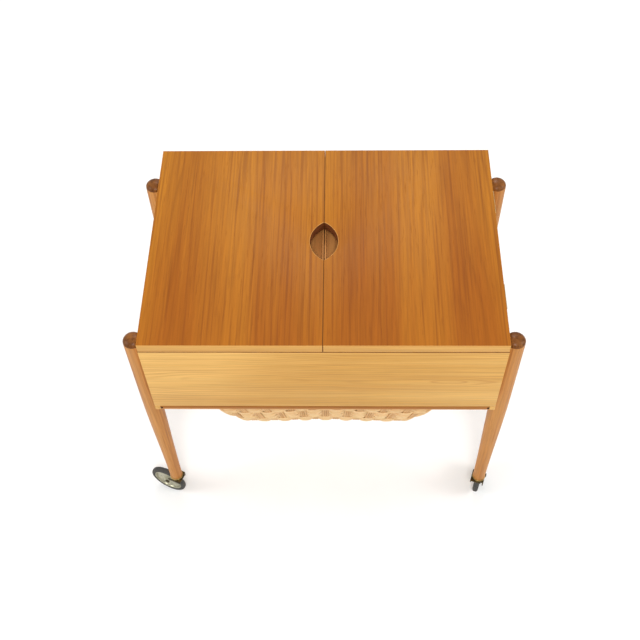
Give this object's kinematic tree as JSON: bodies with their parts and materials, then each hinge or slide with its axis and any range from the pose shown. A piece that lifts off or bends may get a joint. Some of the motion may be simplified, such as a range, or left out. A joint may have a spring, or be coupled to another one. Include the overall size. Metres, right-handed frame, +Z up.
{
  "type": "sewing trolley",
  "caption": "Wooden sewing box on round legs with casters: two folding top leaves with a shared eye-shaped finger hole, sliding inner trays and a woven pull-out basket.",
  "frame": {"origin": "on the floor, midway between the four legs, under the middle of the box", "axes": "+Z up, +X to the right seen from the front, the front of the trolley faces -Y"},
  "size_m": [0.7582, 0.428, 0.65],
  "materials": {
    "top_wood": "satin oiled teak",
    "panel_wood": "satin light teak",
    "inner_wood": "plain satin",
    "leg_wood": "satin turned wood",
    "rail_wood": "satin",
    "cap_wood": "satin dark end grain",
    "cane": "woven cane",
    "brass": "aged brass",
    "bronze": "dark bronzed",
    "steel": "dull steel",
    "tyre_rubber": "matt dark grey"
  },
  "bodies": {
    "box": {"front_panel": "panel_wood", "back_panel": "panel_wood", "left_side_panel": "panel_wood", "right_side_panel": "panel_wood", "box_bottom": "inner_wood", "front_tray_ledge": "inner_wood", "back_tray_ledge": "inner_wood", "front_left_leg": "leg_wood", "front_left_leg_cap": "cap_wood", "front_left_leg_bolt": "steel", "front_left_hinge_box_plate": "brass", "front_left_hinge_pin": "steel", "front_left_caster_ferrule": "brass", "rear_right_leg": "leg_wood", "rear_right_leg_cap": "cap_wood", "rear_right_leg_bolt": "steel", "rear_right_hinge_box_plate": "brass", "rear_right_hinge_pin": "steel", "rear_right_caster_ferrule": "brass", "front_right_leg": "leg_wood", "front_right_leg_cap": "cap_wood", "front_right_leg_bolt": "steel", "front_right_hinge_box_plate": "brass", "front_right_hinge_pin": "steel", "front_right_caster_ferrule": "brass", "rear_left_leg": "leg_wood", "rear_left_leg_cap": "cap_wood", "rear_left_leg_bolt": "steel", "rear_left_hinge_box_plate": "brass", "rear_left_hinge_pin": "steel", "rear_left_caster_ferrule": "brass"},
    "left_leaf": {"left_leaf": "top_wood", "front_left_hinge_leaf_plate": "brass", "rear_left_hinge_leaf_plate": "brass"},
    "left_tray": {"left_tray": "inner_wood"},
    "right_leaf": {"right_leaf": "top_wood", "front_right_hinge_leaf_plate": "brass", "rear_right_hinge_leaf_plate": "brass"},
    "right_tray": {"right_tray": "inner_wood"},
    "basket_drawer": {"basket_front_rail": "rail_wood", "basket_back_rail": "rail_wood", "basket_left_rail": "rail_wood", "basket_right_rail": "rail_wood", "basket": "cane"},
    "front_left_caster": {"front_left_caster_bracket": "bronze", "front_left_caster_axle": "bronze"},
    "front_left_wheel": {"front_left_caster_disc": "brass", "front_left_caster_tyre": "tyre_rubber"},
    "rear_right_caster": {"rear_right_caster_bracket": "bronze", "rear_right_caster_axle": "bronze"},
    "rear_right_wheel": {"rear_right_caster_disc": "brass", "rear_right_caster_tyre": "tyre_rubber"},
    "front_right_caster": {"front_right_caster_bracket": "bronze", "front_right_caster_axle": "bronze"},
    "front_right_wheel": {"front_right_caster_disc": "brass", "front_right_caster_tyre": "tyre_rubber"},
    "rear_left_caster": {"rear_left_caster_bracket": "bronze", "rear_left_caster_axle": "bronze"},
    "rear_left_wheel": {"rear_left_caster_disc": "brass", "rear_left_caster_tyre": "tyre_rubber"}
  },
  "joints": [
    {"name": "left_leaf_hinge", "type": "hinge", "parent": "box", "child": "left_leaf", "pos_m": [-0.3022, 0, 0.6304], "axis": [0, -1, 0], "range_deg": [0, 180]},
    {"name": "right_leaf_hinge", "type": "hinge", "parent": "box", "child": "right_leaf", "pos_m": [0.3022, 0, 0.6304], "axis": [0, 1, 0], "range_deg": [0, 180]},
    {"name": "left_tray_slide", "type": "slide", "parent": "box", "child": "left_tray", "axis": [-1, 0, 0], "range_m": [0, 0.083]},
    {"name": "right_tray_slide", "type": "slide", "parent": "box", "child": "right_tray", "axis": [1, 0, 0], "range_m": [0, 0.083]},
    {"name": "basket_slide", "type": "slide", "parent": "box", "child": "basket_drawer", "axis": [0, -1, 0], "range_m": [0, 0.3]},
    {"name": "front_left_caster_swivel", "type": "hinge", "parent": "box", "child": "front_left_caster", "pos_m": [-0.3186, -0.1724, 0.08], "axis": [0, 0, 1], "continuous": true},
    {"name": "front_left_wheel_spin", "type": "hinge", "parent": "front_left_caster", "child": "front_left_wheel", "pos_m": [-0.34161, -0.16263, 0.0395], "axis": [-0.3907, -0.9205, 0], "continuous": true},
    {"name": "rear_right_caster_swivel", "type": "hinge", "parent": "box", "child": "rear_right_caster", "pos_m": [0.3186, 0.1724, 0.08], "axis": [0, 0, 1], "continuous": true},
    {"name": "rear_right_wheel_spin", "type": "hinge", "parent": "rear_right_caster", "child": "rear_right_wheel", "pos_m": [0.34161, 0.16263, 0.0395], "axis": [0.3907, 0.9205, 0], "continuous": true},
    {"name": "front_right_caster_swivel", "type": "hinge", "parent": "box", "child": "front_right_caster", "pos_m": [0.3186, -0.1724, 0.08], "axis": [0, 0, 1], "continuous": true},
    {"name": "front_right_wheel_spin", "type": "hinge", "parent": "front_right_caster", "child": "front_right_wheel", "pos_m": [0.32632, -0.14862, 0.0395], "axis": [-0.9511, 0.309, 0], "continuous": true},
    {"name": "rear_left_caster_swivel", "type": "hinge", "parent": "box", "child": "rear_left_caster", "pos_m": [-0.3186, 0.1724, 0.08], "axis": [0, 0, 1], "continuous": true},
    {"name": "rear_left_wheel_spin", "type": "hinge", "parent": "rear_left_caster", "child": "rear_left_wheel", "pos_m": [-0.32632, 0.14862, 0.0395], "axis": [0.9511, -0.309, 0], "continuous": true}
  ]
}
